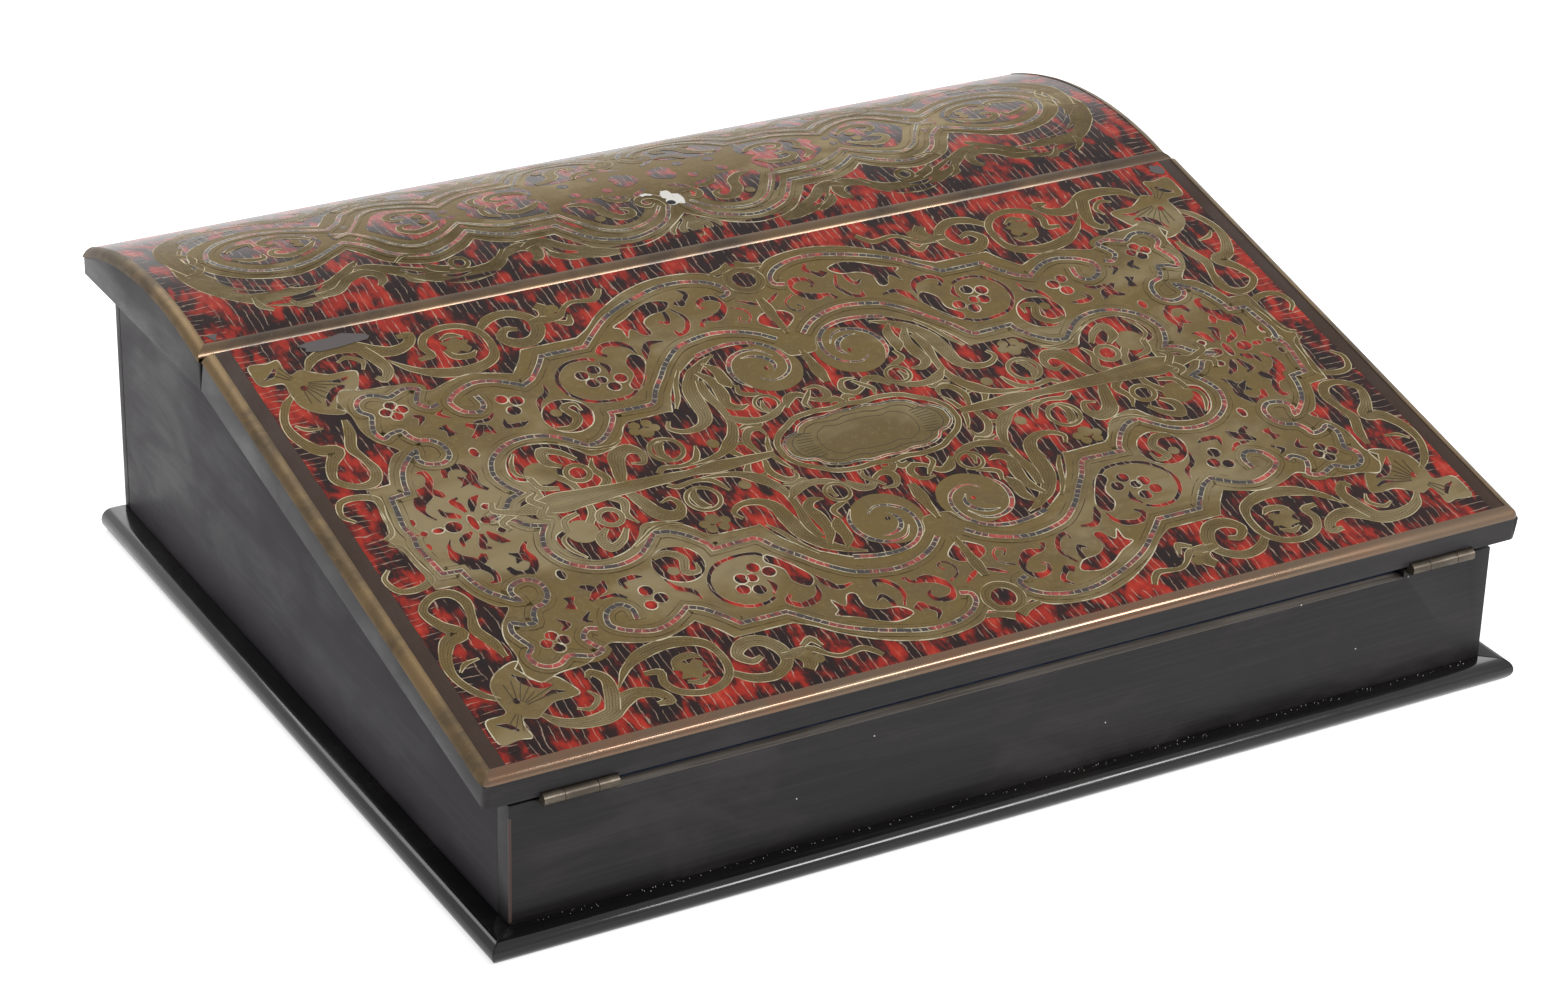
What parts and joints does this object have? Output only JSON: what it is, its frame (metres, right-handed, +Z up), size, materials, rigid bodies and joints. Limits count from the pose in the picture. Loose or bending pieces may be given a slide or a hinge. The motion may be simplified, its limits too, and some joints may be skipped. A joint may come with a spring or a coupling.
{
  "type": "writing slope",
  "caption": "Portable writing box with a sloping front flap and a low dome lid, veneered in shell and brass, with paper space, pen tray and inkwells inside.",
  "frame": {"origin": "under the middle of the whole box, on the table", "axes": "+Z up, front faces -Y, +X to the right as seen from the front"},
  "size_m": [0.38, 0.3233, 0.1174],
  "materials": {
    "black_wood": "ebonised and waxed",
    "brown_wood": "oiled",
    "tortoiseshell_and_brass": "polished red shell with inlaid brass",
    "engraved_brass": "aged",
    "brass": "aged and polished on the ridges",
    "dull_brass": "tarnished",
    "steel": "plain",
    "blue_velvet": "matt pile",
    "clear_glass": "clear"
  },
  "bodies": {
    "case": {"side_left": "black_wood", "side_right": "black_wood", "front_board": "black_wood", "back_board": "black_wood", "bottom_board": "brown_wood", "base_moulding_front": "black_wood", "base_moulding_left": "black_wood", "base_moulding_right": "black_wood", "partition": "brown_wood", "well_floor": "brown_wood", "ink_divider_left": "brown_wood", "ink_divider_right": "brown_wood", "cell_divider_left": "brown_wood", "cell_divider_right": "brown_wood", "tray_ledge_left": "brown_wood", "tray_ledge_right": "brown_wood", "pen_tray": "brown_wood", "paper_space_velvet": "blue_velvet", "front_edge_velvet": "blue_velvet", "front_hinge_fixed_leaves": "dull_brass", "back_hinge_fixed_leaves": "dull_brass", "hinge_pins": "steel", "case_hinge_screws": "steel", "inkwell_glass_left": "clear_glass", "inkwell_glass_right": "clear_glass", "inkwell_collar_left": "brass", "inkwell_collar_right": "brass", "inkwell_pins": "steel"},
    "slope_flap": {"slope_board": "black_wood", "slope_shell": "tortoiseshell_and_brass", "slope_cartouche": "engraved_brass", "slope_bead_front": "brass", "slope_bead_left": "brass", "slope_bead_right": "brass", "slope_strip_left": "brown_wood", "slope_strip_right": "brown_wood", "slope_velvet": "blue_velvet", "slope_hinge_leaves": "dull_brass", "slope_hinge_screws": "steel", "strike_plate": "brass", "strike_screws": "steel"},
    "dome_lid": {"dome_end_left": "black_wood", "dome_end_right": "black_wood", "dome_front_rail": "black_wood", "dome_back_rail": "black_wood", "dome_panel": "brown_wood", "dome_shell": "tortoiseshell_and_brass", "dome_bead_front": "brass", "dome_bead_left": "brass", "dome_bead_right": "brass", "dome_velvet": "blue_velvet", "dome_hinge_leaves": "dull_brass", "dome_hinge_screws": "steel", "lock_block": "brown_wood", "lock_case": "brass", "lock_key_pin": "brass", "lock_screws": "steel"},
    "lock_bolt": {"lock_bolt": "steel"},
    "left_ink_cap": {"inkwell_cap_left": "brass"},
    "right_ink_cap": {"inkwell_cap_right": "brass"}
  },
  "joints": [
    {"name": "slope_hinge", "type": "hinge", "parent": "case", "child": "slope_flap", "pos_m": [0, -0.15595, 0.05025], "axis": [1, 0, 0], "range_deg": [0, 176.9]},
    {"name": "dome_hinge", "type": "hinge", "parent": "case", "child": "dome_lid", "pos_m": [0, 0.15965, 0.09685], "axis": [-1, 0, 0], "range_deg": [0, 100]},
    {"name": "lock_bolt_slide", "type": "slide", "parent": "dome_lid", "child": "lock_bolt", "axis": [0, -1, 0], "range_m": [0, 0.005]},
    {"name": "left_cap_hinge", "type": "hinge", "parent": "case", "child": "left_ink_cap", "pos_m": [-0.1515, 0.09515, 0.06915], "axis": [-1, 0, 0], "range_deg": [0, 100]},
    {"name": "right_cap_hinge", "type": "hinge", "parent": "case", "child": "right_ink_cap", "pos_m": [0.1515, 0.09515, 0.06915], "axis": [-1, 0, 0], "range_deg": [0, 100]}
  ]
}
